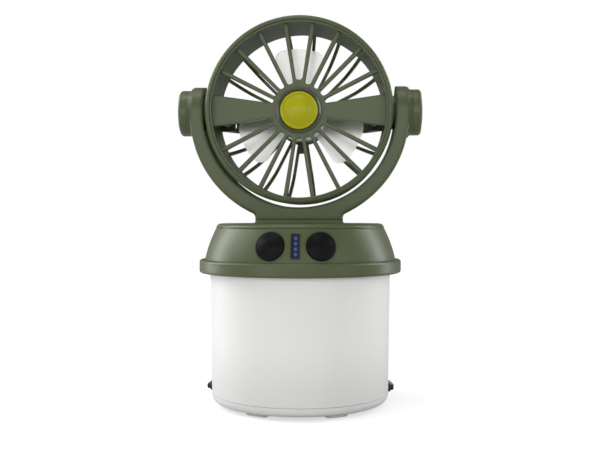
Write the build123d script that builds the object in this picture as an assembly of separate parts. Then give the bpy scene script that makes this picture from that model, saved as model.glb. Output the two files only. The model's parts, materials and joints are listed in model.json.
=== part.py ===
from build123d import *
import os
from math import asin, atan2, cos, radians, sin, sqrt, tan

# Portable camping fan on a lantern base.  Millimetres.
# +X is the object's right seen from the front, -Y is the front and +Z is up.
# The origin is on the surface it stands on, on the lantern's own axis.

# ------------------------------------------------------------------ fits
slip = 0.2            # between moulded parts that plug into each other
running = 0.06        # radial, a pin that turns in its bore
seat = 0.3            # between faces that pass each other as something moves
shell = 2.2           # wall of the green mouldings

# ------------------------------------------------------------------ lantern
foot_stand = 1.8      # the cap's underside above the soles of the feet
cap_height = 5.3      # bottom cap, underside to seam
cap_corner = 4.6      # rounding of the cap's lower edge
lens_show = 71.1      # lens between the cap and the collar
collar_radius = 60.0
lens_top_radius = collar_radius - 6.4
lens_foot_radius = lens_top_radius - 1.0
lens_wall = 2.0
collar_height = 7.8
collar_edge = 1.4
collar_lip = 1.4      # the part of the collar below the bayonet groove
lug_reach = 1.0       # how far the lens's lugs stand out
lug_angle = 24.0
lug_count = 3
flange_thick = 2.0    # the collar's inward flange over the lens
flange_bore = lens_top_radius - 6.6
collar_rise = 1.2     # lip that centres the housing on the collar
gasket_thick = 0.9

foot_radius = lens_foot_radius - 9.8   # of the circle the feet lie on
foot_width = 8.0
foot_angle = 17.0     # how much of that circle one foot takes
foot_spread = 30.0    # from the front and back lines
foot_sink = 0.7       # depth of the pocket in the cap

# ------------------------------------------------------------------ base housing
housing_height = 21.2
housing_foot_radius = collar_radius - 3.3    # where it meets the collar
housing_waist_radius = collar_radius - 6.4   # at its waist
housing_top_radius = collar_radius - 9.8     # just below the top edge
housing_top_edge = 3.0       # rounding of the top edge
housing_waist_drop = 10.6    # the waist, below the top
top_wall = 2.2
groove_drop = 2.5     # fine groove round the top, below the top face
groove = 0.35
plinth_height = 1.9
plinth_flare = 1.7

button_spread = 13.9  # buttons, from the middle plane
button_height = 9.2   # buttons and window, above the collar
button_radius = 7.9
button_proud = 0.9
button_dome = 1.3
button_travel = 1.0
button_lip = 0.9      # flange that keeps the button in
button_plate = 1.2
rim_width = 0.6       # flat shelf round the button
rim_depth = 0.7
switch_size = 6.2
switch_depth = 3.6
plunger_radius = 1.7
board_thick = 1.6
bracket_thick = 2.2

window_width = 4.2
window_length = 13.6
window_thick = 1.6
dot_pitch = 3.08
dot_size = 2.0
dot_count = 4

port_height = 7.6     # charging socket, above the collar
port_width = 9.0
port_rise = 3.3
port_depth = 7.4
flap_width = 15.0
flap_length = 10.0
flap_thick = 1.6
flap_round = 2.4

# ------------------------------------------------------------------ inside the base
plate_thick = 2.0
plate_radius = collar_radius - 7.7
plate_screw_circle = plate_radius - 2.7
cell_radius = 9.1
cell_length = 65.0
cell_pitch = 19.0
cell_count = 3
cell_gap = 0.3
tray_wall = 1.3
tray_height = 11.0
tab_thick = 0.35
post_spread_x = cell_length / 2 + 8.5
post_spread_y = 12.0
post_radius = 3.4
control_board_width = 48.0
control_board_height = 16.0
charge_board_width = 26.0
charge_board_depth = 11.7
reflector_thick = 1.5
reflector_bore = 30.0
led_board_radius = 32.0
led_circle = 22.0
led_count = 10
led_size = 3.0
led_rise = 0.8

# ------------------------------------------------------------------ yoke
arm_depth = 31.0      # front to back
yoke_wall = 5.5       # beside the pivots, in the middle plane
arc_drop = 2.0        # centre of the yoke's outer arc, below the pivot
yoke_round = 1.6      # rounding of its outer edges
neck_width = 51.2
neck_notch = 2.8      # hollow between the arc and the neck
stub_radius = 13.6    # round stub outside each arm
stub_length = 2.4
stub_flare = 1.8      # hollow ring where the stub meets the arm
web_thick = 3.4       # wall the pivot turns in
counterbore_radius = 7.8
cap_length = 6.1      # pivot cap, from the stub to the crown of its dome
cap_dome = 1.0
cap_round = 1.9
cap_wall = 1.8

# ------------------------------------------------------------------ fan head
ring_front_radius = 54.8
ring_rear_radius = 54.7
ring_ahead = 19.0     # ring, ahead of the pivot
ring_behind = 20.0
rim_round = 2.4
rear_round = 1.5
rear_wall = 4.3
rebate_wall = 2.65    # ring wall round the front grille
rebate_depth = 10.5
shoulder = 1.0        # how far the ring wall steps in behind the grille
head_clearance = 0.75 # between the head and the yoke's hollow
boss_radius = 10.0
spigot_radius = 4.0
washer_thick = 0.8
washer_radius = 9.0
retainer_radius = 6.0

spoke_angles = [27 + 18 * n for n in range(8)]
spoke_hub_width = 2.0
spoke_rim_width = 2.5
bar_hub_width = 8.5
bar_rim_width = 18.4
grille_setback = 4.4  # front of the spokes behind the rim
spoke_depth = 4.0
spoke_round = 0.45
grille_ring_wall = 1.2
hub_disc_radius = 16.1
top_slot_start = 18.0
lip_radius = 13.3
lip_width = 1.6
lip_rise = 1.0
dome_radius = 11.2
dome_rise = 3.4
dome_gap = 0.4

guard_radius = 56.7   # rear guard, a dome about the pivot
guard_back = 42.0     # its flat back, behind the pivot
guard_turn = 11.0     # rounding between the two
guard_hub_radius = 16.0
guard_web_reach = 21.4   # web between the two lowest spokes
rear_spoke_width = 1.9
rear_spoke_depth = 3.0
ledge_depth = 4.0     # ledges in the ring that the front grille is screwed to
ledge_setback = 0.8
ledge_start = 41.0
ledge_width = 18.6
rear_bar_width = 17.0
cup_radius = 15.0
cup_wall = 2.2
motor_radius = 12.2
motor_length = 26.5
shaft_radius = 1.0
post_circle = 45.0
grille_post_radius = 2.8
grille_post_spread = 4.3
rear_cap_radius = 14.0
rear_cap_thick = 2.0

blade_count = 3
blade_tip_radius = 39.1
blade_sweep = 50.0    # angle that one blade covers
blade_corner = 5.5
blade_thick = 1.4
blade_pitch_root = 30.0
blade_pitch_tip = 17.0
blade_camber = 2.0
hub_radius = 16.0
hub_depth = 16.0
blade_line = 9.0      # middle of the blades, behind the hub's face
hub_wall = 1.6
hub_gap = 5.6         # fan hub behind the grille

# ------------------------------------------------------------------ bail
bail_wire_radius = 1.1
bail_leg = lens_foot_radius + 2.9   # wire's centre line from the middle plane
bail_height = 9.3
bail_straight = 1.6
bail_bend = 1.6
grommet_radius = 2.6
grommet_body = 1.9
grommet_rise = 1.2

# ------------------------------------------------------------------ screws
screw_radius = 1.25
screw_length = 9.0
screw_head = 2.6
screw_head_thick = 1.6

# ------------------------------------------------------------------ levels and places
cap_seam = foot_stand + cap_height
collar_bottom = cap_seam + lens_show
collar_top = collar_bottom + collar_height
housing_top = collar_top + housing_height
neck_bottom = housing_top + plinth_height
plate_top = collar_top
plate_bottom = plate_top - plate_thick
flange_bottom = plate_bottom - flange_thick
lens_rim = flange_bottom - gasket_thick
groove_floor = collar_bottom + collar_lip
cell_height = plate_top + cell_gap + cell_radius
lens_bore = lens_top_radius - lens_wall
collar_bore = lens_top_radius + 3 * slip

arm_reach = arm_depth / 2
front_reach = sqrt((ring_front_radius - rim_round) ** 2 + (ring_ahead - rim_round) ** 2)
rear_reach = sqrt((ring_rear_radius - rear_round) ** 2 + (ring_behind - rear_round) ** 2)
head_reach = max(front_reach + rim_round, rear_reach + rear_round)
hollow_radius = head_reach + head_clearance
yoke_radius = hollow_radius + yoke_wall
pivot_height = neck_bottom + yoke_radius
pivot = Vector(0, 0, pivot_height)
boss_end = hollow_radius - seat - washer_thick
web_face = hollow_radius + web_thick
spigot_end = web_face + seat
stub_end = yoke_radius + stub_length

spoke_face = -ring_ahead + grille_setback
spoke_back = spoke_face + spoke_depth
rebate_radius = ring_front_radius - rebate_wall
rebate_floor = -ring_ahead + rebate_depth
grille_radius = rebate_radius - slip / 2
grille_bore = grille_radius - grille_ring_wall
ring_bore_front = rebate_radius - shoulder
ring_bore_rear = ring_rear_radius - rear_wall
ledge_back = ring_behind - ledge_setback
ledge_face = ledge_back - ledge_depth
cup_back = guard_back
cup_floor = cup_back - rear_spoke_depth
motor_face = cup_floor - motor_length
hub_front = spoke_back + hub_gap


# ------------------------------------------------------------------ helpers
def along_y(shape):
    """Turn what was drawn about Z so that Z points back along +Y, and centre it on the pivot."""
    return Pos(*pivot) * Rot(-90, 0, 0) * shape


def along_x(shape, side):
    """Turn what was drawn about Z so that Z points outwards along X on one side of the pivot."""
    return Pos(*pivot) * Rot(0, 90 * side, 0) * shape


def turned(points):
    """A ring or disc turned about Z from a list of (radius, height) corners."""
    wire = Polyline(*[(radius, 0, height) for radius, height in points], close=True)
    return revolve(make_face(wire), Axis.Z)


def tube(radius, bore, low, high):
    return Pos(0, 0, low) * (Cylinder(radius, high - low, align=BASE) - Cylinder(bore, high - low, align=BASE))


def rod(radius, low, high):
    return Pos(0, 0, low) * Cylinder(radius, high - low, align=BASE)


def block(x_low, x_high, y_low, y_high, z_low, z_high):
    size = (x_high - x_low, y_high - y_low, z_high - z_low)
    return Pos(x_low, y_low, z_low) * Box(*size, align=(Align.MIN, Align.MIN, Align.MIN))


def screw(length, head_radius=screw_head):
    """A pan-head screw with its seat at Z = 0, its head above and its shank below."""
    head = Cylinder(head_radius, screw_head_thick, align=BASE)
    head = fillet(head.edges().sort_by(Axis.Z)[-1], screw_head_thick * 0.55)
    drive = Pos(0, 0, screw_head_thick) * (Box(head_radius, 0.6, 1.2) + Box(0.6, head_radius, 1.2))
    return (head - drive) + rod(screw_radius, -length, 0)


def save(name, *shapes):
    """Write the solids of one node to its own file."""
    solids = [solid for shape in shapes for solid in shape.solids()]
    export_step(Compound(children=[Solid(solid.wrapped) for solid in solids], label=name), f"parts/{name}.step")
    print(f"{name}: {len(solids)} solid(s)")


BASE = (Align.CENTER, Align.CENTER, Align.MIN)


# ------------------------------------------------------------------ the housing's slope
def housing_radius(height):
    """Outer radius of the housing at a height, on the arc through foot, waist and top."""
    low, middle, high = (
        Vector(housing_foot_radius, collar_top),
        Vector(housing_waist_radius, housing_top - housing_waist_drop),
        Vector(housing_top_radius, housing_top - housing_top_edge),
    )
    arc = ThreePointArc((low.X, low.Y), (middle.X, middle.Y), (high.X, high.Y))
    centre, radius = arc.arc_center, arc.radius
    across = sqrt(radius ** 2 - (height - centre.Y) ** 2)
    return centre.X + (across if centre.X < middle.X else -across)


def slope_plane(offset, height):
    """Plane on the slope at X = offset, its Z axis along the outward normal and its Y axis up the slope."""
    step = 0.5
    radius = housing_radius(height)
    lean = atan2(housing_radius(height - step) - housing_radius(height + step), 2 * step)
    swing = asin(offset / radius)
    outward = Vector(sin(swing) * cos(lean), -cos(swing) * cos(lean), sin(lean))
    across = Vector(cos(swing), sin(swing), 0)
    return Plane(origin=(offset, -sqrt(radius ** 2 - offset ** 2), height), x_dir=across, z_dir=outward)


control_height = collar_top + button_height
button_planes = [slope_plane(side * button_spread, control_height) for side in (-1, 1)]
window_plane = slope_plane(0, control_height)
front_plane = slope_plane(0, collar_top + port_height)
port_plane = Plane(
    origin=(0, -front_plane.origin.Y, front_plane.origin.Z),
    x_dir=(-1, 0, 0),
    z_dir=(0, -front_plane.z_dir.Y, front_plane.z_dir.Z),
)

# depths behind the slope, measured along its normal
button_pad_radius = button_radius + button_lip + 1.0
pad_face = -shell - 1.6
lip_front = pad_face - seat
lip_back = lip_front - button_plate
stem_end = lip_back - 1.8
switch_front = stem_end - 1.6
switch_back = switch_front - switch_depth
board_back = switch_back - board_thick


def housing_section(inset):
    """Half section of the housing's outside, or of its inside when inset by a wall."""
    top = housing_top - (top_wall if inset else 0)
    edge = max(housing_top_edge - inset, 0.6)
    high = housing_top - housing_top_edge
    low = collar_top
    slope = ThreePointArc(
        (housing_radius(low) - inset, low),
        (housing_radius((low + high) / 2) - inset, (low + high) / 2),
        (housing_radius(high) - inset, high),
    )
    end = slope @ 1
    shoulder_point = (end.X - edge * 0.3, top - edge * 0.3)
    crown = ThreePointArc((end.X, high), shoulder_point, (end.X - edge, top))
    lines = slope + crown + Polyline((end.X - edge, top), (0, top), (0, low), (housing_radius(low) - inset, low))
    return Plane.XZ * make_face(Wire(lines.edges()))


def make_base_housing():
    outside = revolve(housing_section(0), Axis.Z)
    plinth = extrude(Pos(0, 0, housing_top - 0.5) * RectangleRounded(neck_width, arm_depth, yoke_round),
                     plinth_height + 0.5)
    body = outside + plinth
    foot_edges = [
        edge for edge in body.edges()
        if abs(edge.center().Z - housing_top) < 0.01 and abs(edge.center().X) < neck_width / 2 + 0.1
        and abs(edge.center().Y) < arm_depth / 2 + 0.1
    ]
    body = fillet(foot_edges, plinth_flare)
    body -= revolve(housing_section(shell), Axis.Z)
    groove_height = housing_top - groove_drop
    wall = housing_radius(groove_height)
    body -= tube(wall + 1, wall - groove, groove_height - groove / 2, groove_height + groove / 2)

    # pads behind the buttons, holes for them, and a flat shelf round each
    inside_wall = revolve(housing_section(shell / 2), Axis.Z)
    for plane in button_planes:
        pad = plane * rod(button_pad_radius, pad_face, 0)
        body += pad & inside_wall
        body -= plane * rod(button_radius + slip, pad_face - 5, 5)
        body -= plane * rod(button_radius + slip + rim_width, -rim_depth, 5)

    # window slot with a step that the window sits on
    body -= window_plane * Box(window_width + slip, window_length + slip, 2 * window_thick)
    body -= window_plane * Box(window_width - 1.2, window_length - 1.2, 12)

    # pocket and hole for the charging socket
    pocket = extrude(RectangleRounded(flap_width + 2 * seat, flap_length + 2 * seat, flap_round + seat),
                     2 * (flap_thick + slip))
    # the lower edge is straight and a little wider, for the flap's barrel to turn in
    trough = Pos(0, (flap_thick - flap_length) / 2, 0) * Box(
        flap_width + 2 * seat, flap_thick + 3.5 * seat, 2 * (flap_thick + slip), align=BASE)
    pocket += trough
    backing = Box(flap_width + 3, flap_length + 3, pocket_back, align=(Align.CENTER, Align.CENTER, Align.MAX))
    body += (port_plane * backing) & inside_wall
    body -= port_plane * Pos(0, 0, -flap_thick - slip) * pocket
    half_width, half_rise = port_width / 2 + slip, port_rise / 2 + slip
    body -= block(-half_width, half_width, 0.7 * plate_radius, collar_radius,
                  port_plane.origin.Z - half_rise, port_plane.origin.Z + half_rise)

    # posts that the chassis plate is screwed to
    for x, y in post_places:
        body += Pos(x, y, 0) * rod(post_radius, plate_top, housing_top - top_wall / 2)
        body -= Pos(x, y, 0) * rod(screw_radius, plate_top - 1, plate_top + screw_length)

    # screw holes and the lead's way up into the yoke
    for x, y in neck_screws:
        body -= Pos(x, y, 0) * rod(screw_radius + slip, housing_top - top_wall - 1, neck_bottom + 1)
    body -= rod(lead_hole, housing_top - top_wall - 1, neck_bottom + 1)
    return body


lead_hole = 3.0
post_places = [(x * post_spread_x, y * post_spread_y) for x in (-1, 1) for y in (-1, 1)]
neck_screws = [(x * neck_width * 0.36, y * cell_pitch / 2) for x in (-1, 1) for y in (-1, 1)]


# ------------------------------------------------------------------ lantern parts
def lens_radius(height):
    share = (height - cap_seam) / lens_show
    return lens_foot_radius + (lens_top_radius - lens_foot_radius) * share


def make_lens():
    foot = cap_seam + slip
    top = lens_rim
    lens = turned([
        (lens_radius(foot), foot), (lens_top_radius, collar_bottom), (lens_top_radius, top),
        (lens_bore, top), (lens_bore, collar_bottom), (lens_radius(foot) - lens_wall, foot),
    ])
    lug = tube(lens_top_radius + lug_reach, lens_bore + 0.5, groove_floor + slip, top)
    wedge = Pos(0, 0, groove_floor) * extrude(lug_sector(), 10)
    for n in range(lug_count):
        lens += Rot(0, 0, 90 + 360 / lug_count * n) * (lug & wedge)
    for side in (-1, 1):
        lens -= Pos(0, 0, bail_height) * Rot(0, 90 * side, 0) * rod(grommet_body, 40, 70)
    return lens


def lug_sector():
    reach = collar_radius
    half = radians(lug_angle / 2)
    return make_face(Polyline((0, 0), (reach * cos(half), reach * sin(half)),
                              (reach * cos(half), -reach * sin(half)), close=True))


def make_bottom_cap():
    outer = lens_foot_radius
    low, high = foot_stand, cap_seam
    spigot = outer - lens_wall - slip
    corner = outer - cap_corner * (1 - sin(radians(45))), low + cap_corner * (1 - cos(radians(45)))
    side = Line((outer, high), (outer, low + cap_corner))
    bend = ThreePointArc((outer, low + cap_corner), corner, (outer - cap_corner, low))
    floor_top = low + lens_wall
    inner = spigot - 1.6
    rest = Polyline(
        (outer - cap_corner, low), (0, low), (0, floor_top), (inner - 2.6, floor_top), (inner, floor_top + 2.6),
        (inner, high + 5.0), (spigot, high + 5.0), (spigot, high), (outer, high),
    )
    cap = revolve(Plane.XZ * make_face(Wire((side + bend + rest).edges())), Axis.Z)
    for angle in foot_places:
        cap -= Rot(0, 0, angle) * foot_block(low - 1, low + foot_sink, slip / 2)
    for side in (-1, 1):
        cap -= Pos(0, 0, bail_height) * Rot(0, 90 * side, 0) * rod(grommet_body, 40, 70)
    return cap


foot_places = [90 * side + foot_spread * lean for side in (-1, 1) for lean in (-1, 1)]


def foot_block(low, high, grow):
    half = foot_angle / 2
    sweep = tube(foot_radius + foot_width / 2 + grow, foot_radius - foot_width / 2 - grow, low, high)
    reach = foot_radius * 2
    spread = radians(half) + grow / foot_radius
    wedge = make_face(Polyline((0, 0), (reach * cos(spread), reach * sin(spread)),
                               (reach * cos(spread), -reach * sin(spread)), close=True))
    piece = sweep & (Pos(0, 0, low) * extrude(wedge, high - low))
    return fillet(piece.edges().filter_by(Axis.Z), 1.8)


def make_foot():
    foot = foot_block(0, foot_stand + foot_sink, 0)
    return fillet(foot.edges().group_by(Axis.Z)[0], 0.6)


def make_collar():
    edge = collar_edge
    outer, bore = collar_radius, collar_bore
    low, high = collar_bottom, collar_top
    groove_bore = lens_top_radius + lug_reach + 3 * slip
    lip_bore = plate_radius + slip
    lip_outer = housing_foot_radius - shell - slip
    skirt = outer - shell
    inner_wall = groove_bore + 1.4
    diagonal = edge * (1 - sin(radians(45)))
    low_bend = ThreePointArc((outer - edge, low), (outer - diagonal, low + diagonal), (outer, low + edge))
    side = Line((outer, low + edge), (outer, high - edge))
    high_bend = ThreePointArc((outer, high - edge), (outer - diagonal, high - diagonal), (outer - edge, high))
    rest = Polyline(
        (outer - edge, high), (lip_outer, high), (lip_outer - 0.5, high + collar_rise),
        (lip_bore, high + collar_rise), (lip_bore, plate_bottom), (flange_bore, plate_bottom),
        (flange_bore, flange_bottom),
        (groove_bore, flange_bottom), (groove_bore, groove_floor), (bore, groove_floor), (bore, low),
        (inner_wall, low), (inner_wall, flange_bottom), (skirt, flange_bottom), (skirt, low), (outer - edge, low),
    )
    collar = revolve(Plane.XZ * make_face(Wire((low_bend + side + high_bend + rest).edges())), Axis.Z)
    # notches that let the lens's lugs in, a third of a turn apart
    entry = Pos(0, 0, low - 1) * extrude(lug_sector(), groove_floor - low + 2)
    notch = entry & tube(groove_bore, bore - 0.5, low - 1, groove_floor + 0.5)
    for n in range(lug_count):
        collar -= Rot(0, 0, 150 + 360 / lug_count * n) * notch
    for angle in plate_screw_angles:
        collar -= place(angle) * rod(screw_radius, flange_bottom - 1, plate_bottom + 1)
    for plane in button_planes:
        collar -= button_room(plane)
    rise = collar_rise + 1
    collar -= block(-button_spread, button_spread, -collar_radius, 0, high, high + rise)
    collar -= block(-flap_width / 2 - 2, flap_width / 2 + 2, 0, collar_radius, high, high + rise)
    return collar


def button_room(plane):
    """Space that the button's pad, its flange and its travel take behind the slope."""
    return plane * rod(button_pad_radius + slip, lip_back - button_travel - 2 * seat, 0)


plate_screw_angles = [0, 64, 116, 180, 232, 308]


def place(angle, radius=plate_screw_circle):
    return Rot(0, 0, angle) * Pos(radius, 0, 0)


def make_bail():
    """Wire bail lying level round the back: an inward pin, a short leg and a half circle."""
    pin_start = lens_foot_radius - lens_wall - slip - 1.6 - 1.0
    bend, leg, straight = bail_bend, bail_leg, bail_straight
    height = bail_height
    diagonal = bend * (1 - sin(radians(45)))
    path = Polyline((pin_start, 0, height), (leg - bend, 0, height))
    path += ThreePointArc((leg - bend, 0, height), (leg - diagonal, diagonal, height), (leg, bend, height))
    path += Line((leg, bend, height), (leg, bend + straight, height))
    path += ThreePointArc((leg, bend + straight, height), (0, bend + straight + leg, height),
                          (-leg, bend + straight, height))
    path += Line((-leg, bend + straight, height), (-leg, bend, height))
    path += ThreePointArc((-leg, bend, height), (-leg + diagonal, diagonal, height), (-leg + bend, 0, height))
    path += Line((-leg + bend, 0, height), (-pin_start, 0, height))
    route = Wire(path.edges())
    section = Plane(origin=(pin_start, 0, height), z_dir=(1, 0, 0)) * Circle(bail_wire_radius)
    return sweep(section, path=route)


def make_grommet(side):
    skin = lens_radius(bail_height) + 0.05
    inner = lens_foot_radius - lens_wall - slip - 1.6
    body = rod(grommet_body - slip / 4, inner, skin + 0.1) + rod(grommet_radius, skin, skin + grommet_rise)
    body = fillet(body.edges().sort_by(Axis.Z)[-1], 0.4)
    body -= rod(bail_wire_radius + running, inner - 1, skin + grommet_rise + 1)
    return Pos(0, 0, bail_height) * Rot(0, 90 * side, 0) * body


# ------------------------------------------------------------------ inside the base
def make_chassis_plate():
    plate = rod(plate_radius, plate_bottom, plate_top)
    plate -= rod(5.0, plate_bottom - 1, plate_top + 1)
    plate += tube(led_board_radius - 1, led_board_radius - 4, flange_bottom + board_thick, plate_bottom)
    for plane, width in [(button_planes[0], 10), (button_planes[1], 10), (window_plane, 6)]:
        back = board_back if width > 6 else indicator_back
        rib = plane * Pos(0, -4, back - bracket_thick / 2) * Box(width, 22, bracket_thick)
        plate += rib & rod(plate_radius, plate_bottom, control_height + 1)
    for x in (-1, 1):
        slot = block(-1.4, 1.4, board_line - 2.6, board_line + board_thick + 1.2, plate_top - 0.5, plate_top + 7)
        plate += Pos(x * 21, 0, 0) * slot
    half = control_board_width / 2 + slip
    plate -= block(-half, half, board_line, board_line + board_thick, plate_top, plate_top + 20)
    for x in (-1, 1):
        plate += block(x * 10 - 1.5, x * 10 + 1.5, 39.0, 48.0, plate_top - 0.5, socket_floor - board_thick)
    for plane in button_planes:
        plate -= button_room(plane)
    for angle in plate_screw_angles:
        plate -= place(angle) * rod(screw_radius + slip, plate_bottom - 1, plate_top + 1)
    for x, y in post_places:
        plate -= Pos(x, y, 0) * rod(screw_radius + slip, plate_bottom - 1, plate_top + 1)
    return plate


pocket_back = flap_thick + slip + 1.5
indicator_front = -window_thick - 2.4
indicator_back = indicator_front - 1.2
tray_front = -cell_pitch - cell_radius - tray_wall - 0.1
board_line = tray_front - 1.4 - board_thick
socket_floor = port_plane.origin.Z - port_rise / 2


def make_battery_tray():
    inner_x = cell_length / 2 + 0.5
    outer_x = inner_x + tray_wall
    inner_y = -tray_front - tray_wall
    outer_y = -tray_front
    tray = block(-outer_x, outer_x, -outer_y, outer_y, plate_top, plate_top + tray_height)
    tray -= block(-inner_x, inner_x, -inner_y, inner_y, plate_top - 1, plate_top + tray_height + 1)
    return fillet(tray.edges().filter_by(Axis.Z).sort_by(lambda e: e.center().length)[-4:], 1.2)


def make_cells():
    cell = Rot(0, 90, 0) * Cylinder(cell_radius, cell_length)
    cell = fillet(cell.edges().filter_by(GeomType.CIRCLE), 0.8)
    return [Pos(0, (n - (cell_count - 1) / 2) * cell_pitch, cell_height) * cell for n in range(cell_count)]


def make_tabs():
    start = cell_length / 2 + 0.05
    reach = cell_pitch * (cell_count - 1) / 2 + 3.5
    return [block(side * start if side > 0 else -start - tab_thick, start + tab_thick if side > 0 else -start,
                  -reach, reach, cell_height - 3.2, cell_height + 1.4) for side in (-1, 1)]


def make_control_board():
    half = control_board_width / 2
    board = block(-half, half, board_line, board_line + board_thick, plate_top, plate_top + control_board_height)
    for x, width, low, high, depth in [(-14, 8, 4, 10, 1.6), (2, 10, 6, 13, 1.2), (16, 6, 3, 12, 1.8)]:
        board += block(x - width / 2, x + width / 2, board_line - depth, board_line,
                       plate_top + low, plate_top + high)
    return board


def make_charge_board():
    half = charge_board_width / 2
    front = socket_back - charge_board_depth
    return block(-half, half, front, socket_back, socket_floor - board_thick, socket_floor)


socket_mouth = port_plane.origin.Y - (flap_thick + slip) - 1.2
socket_back = port_plane.origin.Y - pocket_back - 2.2


def make_charge_socket():
    body = extrude(RectangleRounded(port_width, port_rise, port_rise / 2 - 0.1), port_depth)
    hollow = extrude(RectangleRounded(port_width - 0.7, port_rise - 0.7, port_rise / 2 - 0.45), port_depth - 1)
    tongue = Box(port_width - 3, 0.7, port_depth - 0.8, align=BASE)
    socket = body - Pos(0, 0, 1) * hollow + tongue
    return Pos(0, socket_mouth - port_depth, socket_floor + port_rise / 2) * Rot(-90, 0, 0) * socket


def make_port_cover():
    """Rubber flap lying in its pocket, with a round barrel along its lower edge that it turns on."""
    flap = extrude(RectangleRounded(flap_width, flap_length, flap_round), flap_thick)
    flap = fillet(flap.edges().group_by(Axis.Z)[-1], 0.5)
    barrel_radius = flap_thick / 2
    hinge = barrel_radius - flap_length / 2
    flap -= Pos(0, hinge, 0) * Box(flap_width, 2 * flap_thick, 4 * flap_thick,
                                   align=(Align.CENTER, Align.MAX, Align.CENTER))
    flap += Pos(0, hinge, barrel_radius) * (Rot(0, 90, 0) * Cylinder(barrel_radius, flap_width - 2 * flap_round))
    lip = Pos(0, flap_length / 2 - 0.9, flap_thick - 0.2) * Box(4.5, 1.2, 1.2)
    return port_plane * Pos(0, 0, -flap_thick) * (flap + lip)


def make_switches():
    housing = Pos(0, 0, switch_back) * Box(switch_size, switch_size, switch_depth, align=BASE)
    housing -= rod(plunger_radius + 0.1, switch_back + 0.3, switch_front + 1)
    return [plane * housing for plane in button_planes]


def make_switch_boards():
    board = Pos(0, 0.8, board_back) * Box(12, 10.8, board_thick, align=BASE)
    return [plane * board for plane in button_planes]


def make_plunger(plane):
    return plane * rod(plunger_radius, switch_back + 0.5 + button_travel, stem_end)


def make_button(plane):
    crown = button_proud + button_dome
    sphere = (button_radius ** 2 + button_dome ** 2) / (2 * button_dome)
    body = rod(button_radius, lip_back, crown) & (Pos(0, 0, crown - sphere) * Sphere(sphere))
    body += rod(button_radius + button_lip, lip_back, lip_front)
    body += rod(2.2, stem_end, lip_back)
    return plane * body


def make_window():
    pane = Box(window_width, window_length, window_thick, align=(Align.CENTER, Align.CENTER, Align.MAX))
    return window_plane * fillet(pane.edges().filter_by(Axis.Z), 0.5)


def make_dots():
    dot = Pos(0, 0, indicator_front) * Box(dot_size, dot_size, 0.9, align=BASE)
    start = -(dot_count - 1) / 2 * dot_pitch
    return [window_plane * Pos(0, start + n * dot_pitch, 0) * dot for n in range(dot_count)]


def make_indicator_board():
    return window_plane * Pos(0, 0, indicator_back) * Box(6, window_length + 0.8, 1.2, align=BASE)


def make_reflector():
    low = flange_bottom - reflector_thick
    outer = lens_bore - slip
    body = turned([
        (outer, flange_bottom), (outer, low), (reflector_bore + 6, low), (reflector_bore, flange_bottom - 0.8),
        (reflector_bore, flange_bottom),
    ])
    return body


def make_led_board():
    return rod(led_board_radius, flange_bottom, flange_bottom + board_thick)


def make_lamp_leds():
    led = Pos(0, 0, flange_bottom - led_rise) * Box(led_size, led_size, led_rise, align=BASE)
    ring = [place(360 / led_count * n, led_circle) * led for n in range(led_count)]
    return ring + [place(90 * n, led_circle / 2) * led for n in range(4)]


# ------------------------------------------------------------------ yoke and pivots
def make_yoke():
    """U-shaped yoke: a half ring with a spherical hollow, two round-ended arms and a neck."""
    height = pivot_height
    half = (Pos(0, -arc_drop) * Circle(yoke_radius)) & (
        Pos(0, (-arc_drop - yoke_radius) / 2) * Rectangle(2 * yoke_radius, yoke_radius - arc_drop))
    arms = Pos(0, (arm_reach - arc_drop) / 2) * Rectangle(2 * yoke_radius, arm_reach + arc_drop)
    neck_side = neck_width / 2
    neck_rise = yoke_radius - arc_drop - sqrt(yoke_radius ** 2 - neck_side ** 2) + 8
    neck = Pos(0, -yoke_radius + neck_rise / 2) * Rectangle(neck_width, neck_rise)
    front = half + arms + neck
    notches = [v for v in front.vertices()
               if abs(abs(v.X) - neck_side) < 0.01 and v.Y > -yoke_radius + 1]
    front = fillet(notches, neck_notch)
    body = Pos(0, arm_reach, height) * (Plane.XZ * extrude(front, arm_depth))

    side = Pos(0, (height + neck_bottom) / 2) * Rectangle(arm_depth, height - neck_bottom)
    side += Pos(0, height) * Circle(arm_reach)
    body = body & (Pos(-2 * yoke_radius, 0, 0) * (Plane.YZ * extrude(side, 4 * yoke_radius)))

    outer = [e for e in body.edges() if is_outer_edge(e)]
    body = fillet(outer, yoke_round)

    for end in (-1, 1):
        body += along_x(make_stub(), end)
    body -= Pos(*pivot) * Sphere(hollow_radius)
    for end in (-1, 1):
        body -= along_x(rod(boss_radius + 0.5, hollow_radius - 6, hollow_radius), end)
        body -= along_x(rod(spigot_radius + running, hollow_radius - 6, stub_end + 1), end)
        body -= along_x(rod(counterbore_radius, web_face, stub_end + 1), end)
    for x, y in neck_screws:
        body -= Pos(x, y, 0) * rod(screw_radius, neck_bottom - 1, neck_bottom + 7)
    body -= rod(lead_hole, neck_bottom - 1, neck_bottom + 4)
    return body


def is_outer_edge(edge):
    """Edges round the outside of the yoke's front and back faces, and up the neck's corners."""
    middle = edge.position_at(0.5)
    on_face = abs(abs(middle.Y) - arm_reach) < 0.01 and abs(middle.Z - pivot_height) > 0.01
    above_seat = middle.Z > neck_bottom + 0.5
    on_arm_end = middle.Z > pivot_height + 0.01 and abs(abs(middle.X) - yoke_radius) < 0.01
    return above_seat and (on_face or on_arm_end)


def make_stub():
    spread = stub_flare * 0.75
    turn = 1 - sin(radians(45))
    flare = ThreePointArc(
        (stub_radius + spread, yoke_radius),
        (stub_radius + spread * turn, yoke_radius + stub_flare * turn),
        (stub_radius, yoke_radius + stub_flare),
    )
    rest = Polyline((stub_radius, yoke_radius + stub_flare), (stub_radius, stub_end), (0, stub_end),
                    (0, hollow_radius - 3), (stub_radius + spread, hollow_radius - 3),
                    (stub_radius + spread, yoke_radius))
    return revolve(Plane.XZ * make_face(Wire((flare + rest).edges())), Axis.Z)


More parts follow.
